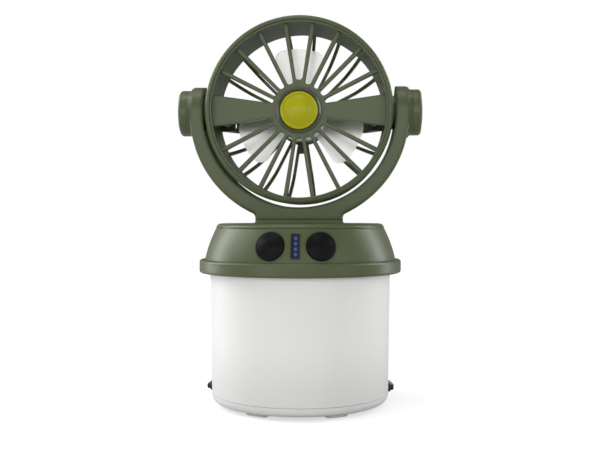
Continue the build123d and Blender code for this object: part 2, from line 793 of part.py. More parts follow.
def dome_arc(radius, height, rise):
    """Arc from the rim of a dome to its crown on the axis."""
    ball = (radius ** 2 + rise ** 2) / (2 * rise)
    half = radius / 2
    return ThreePointArc((radius, height), (half, height + rise - ball + sqrt(ball ** 2 - half ** 2)),
                         (0, height + rise))


def make_pivot_cap(side):
    """Hollow cap on the stub, with a ring that plugs into the counterbore."""
    low, high = stub_end, stub_end + cap_length
    edge = high - cap_dome
    radius, bend = stub_radius, cap_round
    diagonal = bend * (1 - sin(radians(45)))
    wall = Line((radius, low), (radius, edge - bend))
    corner = ThreePointArc((radius, edge - bend), (radius - diagonal, edge - diagonal), (radius - bend, edge))
    crown = dome_arc(radius - bend, edge, cap_dome)
    plug_outer, plug_inner = counterbore_radius - slip / 2, counterbore_radius - slip / 2 - 1.1
    hollow = high - cap_dome - cap_wall
    rest = Polyline(
        (0, high), (0, hollow), (plug_inner, hollow), (plug_inner, web_face + 1.0), (plug_outer, web_face + 1.0),
        (plug_outer, low), (radius, low),
    )
    cap = revolve(Plane.XZ * make_face(Wire((wall + corner + crown + rest).edges())), Axis.Z)
    return along_x(cap, side)


# ------------------------------------------------------------------ fan head
def guard_form(inset):
    """Domed form of the rear guard, drawn with the fan's axis along Z."""
    form = Sphere(guard_radius - inset) & Cylinder(guard_radius, 2 * (guard_back - inset))
    shoulder = form.edges().filter_by(GeomType.CIRCLE).sort_by(Axis.Z)[-1]
    return fillet(shoulder, guard_turn - inset)


def make_guard():
    """Curved spokes, two bars and a hub, all cut from one domed shell behind the ring."""
    shell_form = guard_form(0) - guard_form(rear_spoke_depth)
    shell_form &= rod(guard_radius, ledge_back - 1.2, guard_back)
    reach = guard_radius
    star = rod(guard_hub_radius, 0, reach)
    for angle in spoke_angles:
        star += Rot(0, 0, angle) * Box(2 * reach, rear_spoke_width, reach, align=BASE)
    star += Box(2 * reach, rear_bar_width, reach, align=BASE)
    web = 2 * guard_web_reach * sin(radians(9)) - 0.5
    star += Pos(0, guard_web_reach / 2, 0) * Box(web, guard_web_reach, reach, align=BASE)
    guard = shell_form & star
    for x, z in grille_post_places:
        guard -= Pos(x, z, 0) * rod(screw_head + seat, 0, reach)
    return along_y(guard)


def make_rear_housing():
    """Ring, rear spokes, motor cup, cross bar and pivot bosses in one moulding."""
    ahead, behind = -ring_ahead, ring_behind
    front, rear = ring_front_radius, ring_rear_radius
    lean = (front - rear) / (ring_ahead + ring_behind)
    front_start = front - lean * rim_round
    rear_start = rear + lean * rear_round
    front_turn = rim_round * (1 - sin(radians(45)))
    rear_turn = rear_round * (1 - sin(radians(45)))
    lip = ThreePointArc((front - rim_round, ahead), (front - front_turn, ahead + front_turn),
                        (front_start, ahead + rim_round))
    side = Line((front_start, ahead + rim_round), (rear_start, behind - rear_round))
    tail = ThreePointArc((rear_start, behind - rear_round), (rear - rear_turn, behind - rear_turn),
                         (rear - rear_round, behind))
    rest = Polyline(
        (rear - rear_round, behind), (ring_bore_rear, behind), (ring_bore_front, rebate_floor),
        (rebate_radius, rebate_floor), (rebate_radius, ahead), (front - rim_round, ahead),
    )
    ring = along_y(revolve(Plane.XZ * make_face(Wire((lip + side + tail + rest).edges())), Axis.Z))

    cup = along_y(tube(cup_radius, cup_radius - cup_wall, motor_face + 2, cup_back))
    cup += along_y(rod(cup_radius, cup_floor, cup_back))
    cup = fillet([e for e in cup.edges().filter_by(GeomType.CIRCLE)
                  if abs(e.center().Y - cup_back) < 0.01 and abs(e.radius - cup_radius) < 0.01], 1.6)
    rib = Pos(0, 0, motor_face + 5) * (Box(2.0, 2 * cup_radius - 2, 9, align=BASE)
                                       + Box(2 * cup_radius - 2, 2.0, 9, align=BASE))
    cup += along_y(rib - rod(motor_radius + slip / 2, 0, 40))
    body = ring + cup

    body += make_guard()
    for side in (-1, 1):
        ledge = block(side * ledge_start if side > 0 else -ring_bore_rear - 1,
                      ring_bore_rear + 1 if side > 0 else -ledge_start,
                      -ledge_width / 2, ledge_width / 2, ledge_face, ledge_back)
        body += along_y(ledge)

    for side in (-1, 1):
        boss = along_x(rod(boss_radius, ring_bore_front, boss_end), side)
        body += boss - along_y(rod(rebate_radius, -ring_ahead, rebate_floor))
        body += along_x(rod(spigot_radius, boss_end - 1, spigot_end), side)
        body -= along_x(rod(screw_radius, spigot_end - screw_length, spigot_end + 1), side)
    for x, z in grille_post_places:
        body -= along_y(Pos(x, z, 0) * rod(screw_radius + slip, ledge_face - 1, ledge_back + 1))
    for turn in motor_screw_turns:
        at = Rot(0, 0, turn) * Pos(motor_screw_circle, 0, 0)
        body -= along_y(at * rod(screw_radius + slip, 0, cup_back + 1))
        body -= along_y(at * rod(screw_head + slip, motor_screw_seat, cup_back + 1))
    return body


motor_screw_circle = 8.0
motor_screw_turns = (45, 225)
motor_screw_seat = cup_back - 0.9
grille_post_places = [(x * post_circle, z * grille_post_spread) for x in (-1, 1) for z in (-1, 1)]


def spoke_edge(angle, side, radius, width_in, width_out, inner):
    """Point on one edge of a spoke or bar that widens from its inner to its outer radius."""
    share = (radius - inner) / (grille_bore - inner)
    half = (width_in + (width_out - width_in) * share) / 2
    turn = radians(angle) + side * asin(half / radius)
    return radius * cos(turn), radius * sin(turn)


def grille_slot(low_angle, high_angle, low_bar, high_bar, start):
    """Opening between two spokes, with a round inner end."""
    def widths(is_bar):
        return (bar_hub_width, bar_rim_width) if is_bar else (spoke_hub_width, spoke_rim_width)

    inner, outer = start, grille_bore + 0.3
    corners = [
        spoke_edge(low_angle, 1, inner, *widths(low_bar), hub_disc_radius),
        spoke_edge(low_angle, 1, outer, *widths(low_bar), hub_disc_radius),
        spoke_edge(high_angle, -1, outer, *widths(high_bar), hub_disc_radius),
        spoke_edge(high_angle, -1, inner, *widths(high_bar), hub_disc_radius),
    ]
    middle = radians((low_angle + high_angle) / 2)
    rim = ThreePointArc(corners[1], (outer * cos(middle), outer * sin(middle)), corners[2])
    sides = Line(corners[0], corners[1]) + rim + Polyline(corners[2], corners[3], corners[0])
    slot = make_face(Wire(sides.edges()))
    gap = (Vector(*corners[3]) - Vector(*corners[0])).length
    inner_corners = slot.vertices().sort_by(lambda v: Vector(v.X, v.Y).length)[:2]
    return fillet(inner_corners, min(gap * 0.46, 1.6))


def make_front_grille():
    """Spoked front grille in its own ring, seated in the head ring's rebate."""
    low, high = spoke_face, spoke_back
    disc = rod(grille_bore + 0.6, low, high)
    places = [0] + spoke_angles + [180]
    slots = []
    for half in (0, 180):
        for first, second in zip(places, places[1:]):
            is_top = half == 180 and first < 90 < second
            start = top_slot_start if is_top else hub_disc_radius
            flat = grille_slot(first + half, second + half, first == 0, second == 180, start)
            slots.append(Pos(0, 0, low - 1) * extrude(flat, spoke_depth + 2))
    for slot in slots:
        disc -= slot
    front_edges = [e for e in disc.edges() if abs(e.center().Z - low) < 0.01
                   and Vector(e.center().X, e.center().Y).length < grille_bore - 2]
    disc = fillet(front_edges, spoke_round)
    grille = disc + tube(grille_radius, grille_bore, -ring_ahead + 0.8, rebate_floor - slip / 2)
    grille += tube(lip_radius, lip_radius - lip_width, low - lip_rise, low + 1)
    grille -= rod(dome_radius + dome_gap, low - lip_rise - 1, low + 2.0)
    grille -= rod(4.0, low, high + 1)
    for x, z in grille_post_places:
        grille += Pos(x, z, 0) * rod(grille_post_radius, high - 1, ledge_face)
        grille -= Pos(x, z, 0) * rod(screw_radius, ledge_face - 8, ledge_face + 1)
    return along_y(grille)


def make_hub_dome():
    base = spoke_face + 2.0
    rim = spoke_face - 0.4
    sphere = (dome_radius ** 2 + dome_rise ** 2) / (2 * dome_rise)
    crown = rim - dome_rise
    cap = Pos(0, 0, crown + sphere) * Sphere(sphere) + rod(dome_radius, rim, base)
    dome = rod(dome_radius, crown, base) & cap
    dome += rod(3.8, base - 1, spoke_back + 0.8)
    return along_y(dome)


def blade_section(radius, pitch):
    """Cambered section of a blade, square to its radius."""
    half = radius * tan(radians(blade_sweep / 2)) + 5
    camber = blade_camber * radius / blade_tip_radius
    thick = blade_thick / 2
    line = ThreePointArc((-half, -thick), (0, camber - thick), (half, -thick))
    back = ThreePointArc((half, thick), (0, camber + thick), (-half, thick))
    ends = Line((half, -thick), (half, thick)) + Line((-half, thick), (-half, -thick))
    face = make_face(Wire((line + back + ends).edges()))
    chord = (0, cos(radians(pitch)), sin(radians(pitch)))
    return Plane(origin=(radius, 0, 0), x_dir=chord, z_dir=(1, 0, 0)) * face


def make_fan():
    """Three twisted blades round a cup-shaped hub, drawn with the shaft along Z."""
    middle = hub_front + blade_line
    root, tip = hub_radius - 2.0, blade_tip_radius + 3.0
    pitches = [blade_pitch_root, (blade_pitch_root + blade_pitch_tip) / 2 - 1, blade_pitch_tip]
    radii = [root, (root + tip) / 2, tip]
    twist = loft([blade_section(r, p) for r, p in zip(radii, pitches)])
    half = radians(blade_sweep / 2)
    outline = make_face(Wire((
        Line((0, 0), (blade_tip_radius * cos(half), -blade_tip_radius * sin(half)))
        + ThreePointArc((blade_tip_radius * cos(half), -blade_tip_radius * sin(half)), (blade_tip_radius, 0),
                        (blade_tip_radius * cos(half), blade_tip_radius * sin(half)))
        + Line((blade_tip_radius * cos(half), blade_tip_radius * sin(half)), (0, 0))
    ).edges()))
    corners = outline.vertices().sort_by(lambda v: v.X)[1:]
    outline = fillet(corners, blade_corner)
    prism = Pos(0, 0, -12) * extrude(outline, 24)
    blade = twist & prism
    hub = rod(hub_radius, hub_front, hub_front + hub_depth)
    hub = fillet(hub.edges().sort_by(Axis.Z)[0], 1.6)
    hub -= rod(hub_radius - hub_wall, hub_front + hub_wall + 0.6, hub_front + hub_depth + 1)
    fan = hub + rod(2.6, hub_front + hub_wall, hub_front + hub_depth)
    keep = rod(blade_tip_radius + 1, -20, 20) - rod(hub_radius - hub_wall / 2, -20, 20)
    for n in range(blade_count):
        fan += (Rot(0, 0, -90 + 360 / blade_count * n) * Pos(0, 0, middle) * blade) & keep
    fan -= rod(shaft_radius + 0.01, hub_front + hub_wall, hub_front + hub_depth + 1)
    return along_y(fan)


def make_motor():
    can = rod(motor_radius, motor_face, cup_floor)
    can = fillet(can.edges(), 1.0)
    can += rod(3.2, motor_face - 0.8, motor_face + 1)
    can -= rod(shaft_radius + running, motor_face - 2, cup_floor - 2)
    for turn in motor_screw_turns:
        can -= Rot(0, 0, turn) * Pos(motor_screw_circle, 0, 0) * rod(screw_radius, cup_floor - 4, cup_floor + 1)
    return along_y(can)


def make_shaft():
    return along_y(rod(shaft_radius, hub_front + hub_wall + 0.2, cup_floor - 2.4))


def make_rear_cap():
    low, high = cup_back, cup_back + rear_cap_thick
    disc = rod(rear_cap_radius, low, high)
    disc = fillet(disc.edges().sort_by(Axis.Z)[-1], 1.2)
    for turn in motor_screw_turns:
        disc -= Rot(0, 0, turn) * Pos(motor_screw_circle, 0, 0) * rod(screw_head + seat, low - 1, low + 1.0)
    return along_y(disc)


# ------------------------------------------------------------------ write every node
def screws_up(places, height, length):
    """Screws driven upwards, head below the given height."""
    return [Pos(x, y, height) * Rot(180, 0, 0) * screw(length) for x, y in places]


def main():
    os.makedirs("parts", exist_ok=True)

    save("bottom_cap", make_bottom_cap())
    save("feet", *[Rot(0, 0, angle) * make_foot() for angle in foot_places])
    save("lens", make_lens())
    save("lens_gasket", tube(lens_top_radius - slip, lens_bore + slip, lens_rim, flange_bottom))
    save("collar", make_collar())
    save("bail_wire", make_bail())
    save("bail_grommets", make_grommet(-1), make_grommet(1))

    save("base_housing", make_base_housing())
    save("chassis_plate", make_chassis_plate())
    plate_screws = [place(angle) * Pos(0, 0, plate_top) * screw(plate_thick + flange_thick - 0.2)
                    for angle in plate_screw_angles]
    save("chassis_screws", *plate_screws, *screws_up(post_places, plate_bottom, screw_length))
    save("battery_tray", make_battery_tray())
    save("battery_cells", *make_cells())
    save("battery_tabs", *make_tabs())
    save("control_board", make_control_board())
    save("charge_board", make_charge_board())
    save("charge_socket", make_charge_socket())
    save("port_cover", make_port_cover())
    save("indicator_window", make_window())
    save("indicator_lights", *make_dots())
    save("indicator_board", make_indicator_board())
    save("switch_boards", *make_switch_boards())
    save("tact_switches", *make_switches())
    save("fan_button", make_button(button_planes[0]))
    save("lamp_button", make_button(button_planes[1]))
    save("fan_switch_plunger", make_plunger(button_planes[0]))
    save("lamp_switch_plunger", make_plunger(button_planes[1]))
    save("reflector", make_reflector())
    save("led_board", make_led_board())
    save("lamp_leds", *make_lamp_leds())

    save("yoke", make_yoke())
    save("yoke_screws", *screws_up(neck_screws, housing_top - top_wall, screw_length))
    save("left_pivot_cap", make_pivot_cap(-1))
    save("right_pivot_cap", make_pivot_cap(1))

    save("rear_housing", make_rear_housing())
    save("front_grille", make_front_grille())
    save("hub_dome", make_hub_dome())
    washer = tube(washer_radius, spigot_radius + slip, boss_end, boss_end + washer_thick)
    save("pivot_washers", *[along_x(washer, side) for side in (-1, 1)])
    retainer = tube(retainer_radius, screw_radius + slip, spigot_end, spigot_end + washer_thick)
    save("retaining_washers", *[along_x(retainer, side) for side in (-1, 1)])
    save("pivot_screws", *[along_x(Pos(0, 0, spigot_end + washer_thick) * screw(8), side) for side in (-1, 1)])
    save("motor_can", make_motor())
    save("motor_shaft", make_shaft())
    save("fan_blade", make_fan())
    motor_screws = [along_y(Rot(0, 0, turn) * Pos(motor_screw_circle, 0, motor_screw_seat) * screw(cup_wall + 2))
                    for turn in motor_screw_turns]
    save("motor_screws", *motor_screws)
    save("rear_hub_cap", make_rear_cap())
    save("grille_screws", *[along_y(Pos(x, z, ledge_back) * screw(ledge_depth + 6))
                            for x, z in grille_post_places])


main()
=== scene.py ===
# %% [markdown]
# # A camping fan on a lantern
# A small fan in a spoked ring tilts in a U-shaped yoke. The yoke stands on a round housing with two rubber keys
# and a row of charge lights, and below the collar hangs a frosted lantern. The shapes come ready from the
# frame. This lesson gives each of them its finish, adds the small hardware that a plain solid leaves out, and
# sets up a bright table-top stage.

# %% [markdown]
# ## Load the frame
# The frame brings every solid in its place, in metres, with one named material slot each. The box round all of
# them is measured now and once more at the end, and the size of each is printed.

# %% Load the frame
import json
from math import acos, cos, degrees, pi, radians, sin

import bmesh
import bpy
from mathutils import Matrix, Vector


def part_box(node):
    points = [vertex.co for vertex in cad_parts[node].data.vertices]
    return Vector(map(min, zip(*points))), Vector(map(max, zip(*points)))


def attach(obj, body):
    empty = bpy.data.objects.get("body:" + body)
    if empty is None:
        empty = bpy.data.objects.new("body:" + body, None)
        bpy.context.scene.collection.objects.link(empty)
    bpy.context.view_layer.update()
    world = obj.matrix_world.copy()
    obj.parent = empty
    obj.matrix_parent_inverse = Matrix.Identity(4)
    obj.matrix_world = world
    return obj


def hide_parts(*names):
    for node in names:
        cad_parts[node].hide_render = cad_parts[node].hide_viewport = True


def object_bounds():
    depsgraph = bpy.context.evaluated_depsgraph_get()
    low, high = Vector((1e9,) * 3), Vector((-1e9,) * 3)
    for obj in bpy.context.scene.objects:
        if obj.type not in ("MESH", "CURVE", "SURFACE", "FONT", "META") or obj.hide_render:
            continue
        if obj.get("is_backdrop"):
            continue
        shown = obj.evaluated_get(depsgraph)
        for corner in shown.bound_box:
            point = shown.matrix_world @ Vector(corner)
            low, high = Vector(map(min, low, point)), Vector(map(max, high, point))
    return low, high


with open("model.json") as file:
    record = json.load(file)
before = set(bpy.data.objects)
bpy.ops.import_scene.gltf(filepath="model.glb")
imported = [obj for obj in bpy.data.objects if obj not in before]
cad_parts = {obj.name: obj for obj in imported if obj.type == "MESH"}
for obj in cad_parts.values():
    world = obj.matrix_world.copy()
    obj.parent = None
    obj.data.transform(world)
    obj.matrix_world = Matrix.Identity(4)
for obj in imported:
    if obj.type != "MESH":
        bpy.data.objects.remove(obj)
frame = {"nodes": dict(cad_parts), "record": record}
cad_low, cad_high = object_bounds()
nodes = frame["nodes"]
joint_axes = {joint["name"]: joint["axis"] for joint in frame["record"]["behaviour"]["joints"]}
MM = 0.001
WHITE = (1, 1, 1, 1)
print("nodes:", len(nodes), "size in mm:", [round(v / MM, 1) for v in cad_high - cad_low])

# %% [markdown]
# ## Camera
# The object is seen almost straight on, from slightly right of its middle and at half its height, from about
# half a metre away. A near camera is what makes the round collar show its curve above and below the eye line, so
# the distance matters more than the lens. No shift is used: the camera turns a little instead.

# %% Camera
eye = Vector((25.7, -526.0, 111.5)) * MM
target = Vector((-0.1, 0.0, 106.2)) * MM
camera_data = bpy.data.cameras.new("camera")
camera_data.lens = 52.7
camera_data.sensor_width = 36.0
camera_data.dof.use_dof = False
camera = bpy.data.objects.new("camera", camera_data)
camera.location = eye
camera.rotation_euler = (target - eye).to_track_quat("-Z", "Y").to_euler()
bpy.context.scene.collection.objects.link(camera)
bpy.context.scene.camera = camera
print("camera at", [round(v, 4) for v in eye])

# %% [markdown]
# ## Node helpers
# A material is a small graph, and writing it out socket by socket is long. These helpers make a node, set its
# plain values and join it in one line, so that each recipe below reads as a list of what it does.

# %% Making and joining nodes
def link(tree, source, target):
    tree.links.new(source, target)


def add_node(tree, kind, **settings):
    made = tree.nodes.new("ShaderNode" + kind)
    for key, value in settings.items():
        setattr(made, key, value)
    return made


def set_inputs(made, **values):
    """Set plain values; an underscore stands for the space in a socket's name."""
    for key, value in values.items():
        made.inputs[key.replace("_", " ")].default_value = value
    return made


def object_place(tree):
    """The point that is being shaded, in metres of the object itself."""
    return add_node(tree, "TexCoord").outputs["Object"]


def start_material(name):
    """A material that holds only its shader, already joined to the output."""
    material = bpy.data.materials.new(name)
    material.use_nodes = True
    tree = material.node_tree
    tree.nodes.clear()
    shader = add_node(tree, "BsdfPrincipled")
    link(tree, shader.outputs[0], add_node(tree, "OutputMaterial").inputs[0])
    return material, tree, shader


# %% Arithmetic on sockets
def math_node(tree, operation, first, second=None):
    made = add_node(tree, "Math", operation=operation)
    for index, value in enumerate((first, second)):
        if isinstance(value, (int, float)):
            made.inputs[index].default_value = value
        elif value is not None:
            link(tree, value, made.inputs[index])
    return made.outputs[0]


def vector_node(tree, operation, first, second=None):
    made = add_node(tree, "VectorMath", operation=operation)
    link(tree, first, made.inputs[0])
    if second is not None:
        link(tree, second, made.inputs[1])
    return made.outputs["Value" if operation in ("LENGTH", "DOT_PRODUCT") else "Vector"]


def map_range(tree, value, low, high, to_low, to_high, smooth=False):
    made = add_node(tree, "MapRange", interpolation_type="SMOOTHSTEP" if smooth else "LINEAR")
    set_inputs(made, From_Min=low, From_Max=high, To_Min=to_low, To_Max=to_high)
    link(tree, value, made.inputs["Value"])
    return made.outputs[0]


def mix_colour(tree, share, first, second, blend="MIX"):
    made = add_node(tree, "Mix", data_type="RGBA", blend_type=blend)
    for socket, value in ((made.inputs[0], share), (made.inputs[6], first), (made.inputs[7], second)):
        if isinstance(value, (int, float)):
            socket.default_value = value
        elif isinstance(value, tuple):
            socket.default_value = (*value[:3], 1)
        else:
            link(tree, value, socket)
    return made.outputs[2]


def bump_normal(tree, height, strength, distance, under=None):
    """A normal that follows a height; a bump that lies under it comes in through its own normal."""
    bump = set_inputs(add_node(tree, "Bump"), Strength=strength, Distance=distance)
    link(tree, height, bump.inputs["Height"])
    if under is not None:
        link(tree, under, bump.inputs["Normal"])
    return bump.outputs["Normal"]


# %% Node groups
def start_group(name, inputs, outputs):
    """A shader node group with named inputs, given as (name, kind, value), and outputs, as (name, kind)."""
    group = bpy.data.node_groups.new(name, "ShaderNodeTree")
    for title, kind, value in inputs:
        socket = group.interface.new_socket(title, in_out="INPUT", socket_type="NodeSocket" + kind)
        socket.default_value = value
    for title, kind in outputs:
        group.interface.new_socket(title, in_out="OUTPUT", socket_type="NodeSocket" + kind)
    return group, group.nodes.new("NodeGroupInput"), group.nodes.new("NodeGroupOutput")


def place_group(tree, group, **values):
    made = tree.nodes.new("ShaderNodeGroup")
    made.node_tree = group
    return set_inputs(made, **values)


# %% [markdown]
# ## Table
# A white table keeps the shadows soft. It could simply be lit until it is white, but that much light would wash
# out the object. Here it is an ordinary pale surface that also glows a little, and only for the camera and for
# what is seen through a clear piece, so it reads as white and still keeps the contact shadow.

# %% Table finish
def seen_directly(tree):
    """1 for rays that come from the camera or through a clear piece, 0 for those that only carry light."""
    path = add_node(tree, "LightPath")
    return math_node(tree, "MAXIMUM", path.outputs["Is Camera Ray"], path.outputs["Is Transmission Ray"])


near_radius, far_radius = 0.15, 1.6
near_glow, far_glow = 0.58, 0.90
table_material, tree, shader = start_material("white_table")
set_inputs(shader, Base_Color=(0.60, 0.60, 0.60, 1), Roughness=0.9, Specular_IOR_Level=0.1, Emission_Color=WHITE)
distance = vector_node(tree, "LENGTH", object_place(tree))
glow = map_range(tree, distance, near_radius, far_radius, near_glow, far_glow, smooth=True)
link(tree, math_node(tree, "MULTIPLY", seen_directly(tree), glow), shader.inputs["Emission Strength"])
print("table glow:", near_glow, "near,", far_glow, "far")

# %% Table top
table_radius = 6.0
table_gap = 0.0002
table_mesh = bpy.data.meshes.new("table_top")
bm = bmesh.new()
bmesh.ops.create_circle(bm, cap_ends=True, segments=64, radius=table_radius)
bmesh.ops.translate(bm, verts=bm.verts, vec=(0, 0, cad_low.z - table_gap))
bm.to_mesh(table_mesh)
bm.free()
table_top = bpy.data.objects.new("table_top", table_mesh)
table_top.data.materials.append(table_material)
bpy.context.scene.collection.objects.link(table_top)
table_top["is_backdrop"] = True
print("table radius in m:", table_radius)

# %% [markdown]
# ## Surround
# The room behind is white to the camera and much dimmer as a lamp. It is a little brighter on the left, so that
# the round shapes turn from light to shade across their width.

# %% Surround
left_light, right_light = 0.34, 0.27
world = bpy.data.worlds.new("surround")
bpy.context.scene.world = world
world.use_nodes = True
tree = world.node_tree
tree.nodes.clear()
room = set_inputs(add_node(tree, "Background"), Color=WHITE)
direction = add_node(tree, "SeparateXYZ")
link(tree, add_node(tree, "TexCoord").outputs["Generated"], direction.inputs[0])
side_light = map_range(tree, direction.outputs["X"], -1.0, 1.0, left_light, right_light)
link(tree, math_node(tree, "MAXIMUM", side_light, seen_directly(tree)), room.inputs["Strength"])
link(tree, room.outputs[0], add_node(tree, "OutputWorld").inputs[0])
bpy.context.scene.view_settings.view_transform = "Standard"
print("room light:", left_light, "left,", right_light, "right")

# %% [markdown]
# ## Lamps
# Small bare lamps would draw hard dots on satin plastic, so every lamp is a large soft rectangle. Two stand left
# and right in front. Tall strips behind them draw the streak on each side of the sloping housing, and a
# wider lamp high on the left spreads that streak inwards. The front lamp hangs high, so that the flat bars
# of the grille shine more than the collar below them.

# %% Lamps
def soft_lamp(name, place, aim_height, width, height, power):
    lamp_data = bpy.data.lights.new(name, "AREA")
    lamp_data.shape = "RECTANGLE"
    lamp_data.size = width
    lamp_data.size_y = height
    lamp_data.energy = power
    lamp = bpy.data.objects.new(name, lamp_data)
    lamp.location = place
    lamp.rotation_euler = (Vector((0, 0, aim_height)) - Vector(place)).to_track_quat("-Z", "Y").to_euler()
    bpy.context.scene.collection.objects.link(lamp)


soft_lamp("left_lamp", (-0.62, -0.85, 0.16), aim_height=0.10, width=0.45, height=0.45, power=1.5)
soft_lamp("right_lamp", (0.95, -0.75, 0.30), aim_height=0.10, width=0.30, height=0.8, power=1.7)
soft_lamp("left_strip", (-0.82, 0.32, 0.36), aim_height=0.12, width=0.20, height=0.8, power=4.3)
soft_lamp("left_high", (-0.70, -0.06, 0.62), aim_height=0.12, width=0.40, height=0.5, power=1.6)
soft_lamp("right_strip", (0.80, 0.33, 0.34), aim_height=0.12, width=0.10, height=0.8, power=3.5)
soft_lamp("top_lamp", (-0.1, -0.10, 1.1), aim_height=0.10, width=0.6, height=0.5, power=2.4)
soft_lamp("front_lamp", (0.1, -1.5, 0.42), aim_height=0.08, width=1.4, height=0.4, power=4.9)
print("lamps in W:", {lamp.name: round(lamp.energy, 1) for lamp in bpy.data.lights})

# %% [markdown]
# ## Shared surface effects
# Five effects turn up on more than one material, so each is a node group that is built once and placed with its
# own numbers. All of them read Object coordinates, which are metres here, so a size in millimetres is a real
# size, and the effect stays on the piece when the piece moves.
#
# The first is the fine grain of a moulding tool. It could be an image, but a noise has no seam and no
# resolution. It gives a tone near 1, to multiply a colour with, and a height for the bump.

# %% Moulded grain
grain_group, group_in, group_out = start_group(
    "moulded_grain",
    [("Scale", "Float", 2600.0), ("Contrast", "Float", 0.06)],
    [("Tone", "Float"), ("Height", "Float")])
grain = set_inputs(add_node(grain_group, "TexNoise"), Detail=3.0, Roughness=0.6)
link(grain_group, object_place(grain_group), grain.inputs["Vector"])
link(grain_group, group_in.outputs["Scale"], grain.inputs["Scale"])
centred = math_node(grain_group, "SUBTRACT", grain.outputs["Fac"], 0.5)
swing = math_node(grain_group, "MULTIPLY", centred, group_in.outputs["Contrast"])
link(grain_group, math_node(grain_group, "ADD", swing, 1.0), group_out.inputs["Tone"])
link(grain_group, grain.outputs["Fac"], group_out.inputs["Height"])
print(grain_group.name, len(grain_group.nodes), "nodes")

# %% [markdown]
# ### Edge wear
# Hands and tables rub a pale line along an edge. Where a rounded normal turns away from the true one there is an
# edge, and a noise breaks the line up, because wear is never even.

# %% Edge wear
edge_group, group_in, group_out = start_group(
    "edge_wear",
    [("Radius", "Float", 0.0006), ("Amount", "Float", 0.5)],
    [("Mask", "Float")])
rounded = add_node(edge_group, "Bevel", samples=6)
link(edge_group, group_in.outputs["Radius"], rounded.inputs["Radius"])
surface = add_node(edge_group, "NewGeometry")
alike = vector_node(edge_group, "DOT_PRODUCT", rounded.outputs["Normal"], surface.outputs["Normal"])
edge = map_range(edge_group, alike, 0.995, 0.90, 0.0, 1.0)
patches = set_inputs(add_node(edge_group, "TexNoise"), Scale=160.0, Detail=5.0, Roughness=0.65)
link(edge_group, object_place(edge_group), patches.inputs["Vector"])
broken = map_range(edge_group, patches.outputs["Fac"], 0.35, 0.65, 0.25, 1.0)
worn = math_node(edge_group, "MULTIPLY", edge, broken)
link(edge_group, math_node(edge_group, "MULTIPLY", worn, group_in.outputs["Amount"]), group_out.inputs["Mask"])
print(edge_group.name, len(edge_group.nodes), "nodes")

# %% [markdown]
# ### Soft edge
# Moulded edges are never sharp. A rounded normal near each edge catches a thin line of light, which is what
# makes the part look moulded and not cut.

# %% Soft edge
soft_group, group_in, group_out = start_group(
    "soft_edge", [("Radius", "Float", 0.0005)], [("Normal", "Vector")])
rounded = add_node(soft_group, "Bevel", samples=6)
link(soft_group, group_in.outputs["Radius"], rounded.inputs["Radius"])
link(soft_group, rounded.outputs["Normal"], group_out.inputs["Normal"])
print(soft_group.name, len(soft_group.nodes), "nodes")

# %% [markdown]
# ### Turned rings
# A turned piece carries rings about its own axis. The height of a ring depends only on how far a point is from
# that axis, so the cross product with the axis gives it for any tilt.

# %% Turned rings
ring_group, group_in, group_out = start_group(
    "turned_rings",
    [("Centre", "Vector", (0, 0, 0)), ("Axis", "Vector", (0, 1, 0)), ("Pitch", "Float", 0.001),
     ("Inner", "Float", 0.0), ("Outer", "Float", 1.0)],
    [("Height", "Float")])
arm = vector_node(ring_group, "SUBTRACT", object_place(ring_group), group_in.outputs["Centre"])
square = vector_node(ring_group, "CROSS_PRODUCT", arm, group_in.outputs["Axis"])
distance = vector_node(ring_group, "LENGTH", square)
turns = math_node(ring_group, "DIVIDE", distance, group_in.outputs["Pitch"])
wave = math_node(ring_group, "COSINE", math_node(ring_group, "MULTIPLY", turns, 2 * pi))
inside = math_node(ring_group, "LESS_THAN", distance, group_in.outputs["Outer"])
beyond = math_node(ring_group, "GREATER_THAN", distance, group_in.outputs["Inner"])
shown = math_node(ring_group, "MULTIPLY", inside, beyond)
link(ring_group, math_node(ring_group, "MULTIPLY", wave, shown), group_out.inputs["Height"])
print(ring_group.name, len(ring_group.nodes), "nodes")

# %% [markdown]
# ### Handling
# Where fingers go, a surface turns a little smoother and darker. A slow, bent noise shifts the roughness and the
# tone together, because the same touch causes both.

# %% Handling
handling_group, group_in, group_out = start_group(
    "handling",
    [("Polish", "Float", 0.06), ("Roughness", "Float", 0.45)],
    [("Roughness", "Float"), ("Tone", "Float")])
drift = add_node(handling_group, "TexNoise")
set_inputs(drift, Scale=34.0, Detail=4.0, Roughness=0.55, Distortion=0.6)
link(handling_group, object_place(handling_group), drift.inputs["Vector"])
centred = math_node(handling_group, "SUBTRACT", drift.outputs["Fac"], 0.5)
swing = math_node(handling_group, "MULTIPLY", centred, group_in.outputs["Polish"])
polished = math_node(handling_group, "ADD", swing, group_in.outputs["Roughness"])
link(handling_group, polished, group_out.inputs["Roughness"])
tone = map_range(handling_group, drift.outputs["Fac"], 0.3, 0.7, 0.97, 1.03)
link(handling_group, tone, group_out.inputs["Tone"])
print(handling_group.name, len(handling_group.nodes), "nodes")

# %% [markdown]
# ## A common start
# Plastics and rubbers begin alike: grain in the tone, and a roughness that handling has shifted. This helper
# joins both and hands back what a recipe still needs. The shader stays in the material itself, where its plain
# numbers, such as sheen or transmission, are set on its own sockets.

# %% Common start
def start_surface(name, roughness, polish, grain_scale, contrast):
    material, tree, shader = start_material(name)
    grain = place_group(tree, grain_group, Scale=grain_scale, Contrast=contrast)
    handled = place_group(tree, handling_group, Polish=polish, Roughness=roughness)
    link(tree, handled.outputs["Roughness"], shader.inputs["Roughness"])
    return material, tree, shader, grain, handled


def both_tones(tree, colour, grain, handled):
    tone = math_node(tree, "MULTIPLY", grain.outputs["Tone"], handled.outputs["Tone"])
    return mix_colour(tree, 1.0, colour, tone, "MULTIPLY")


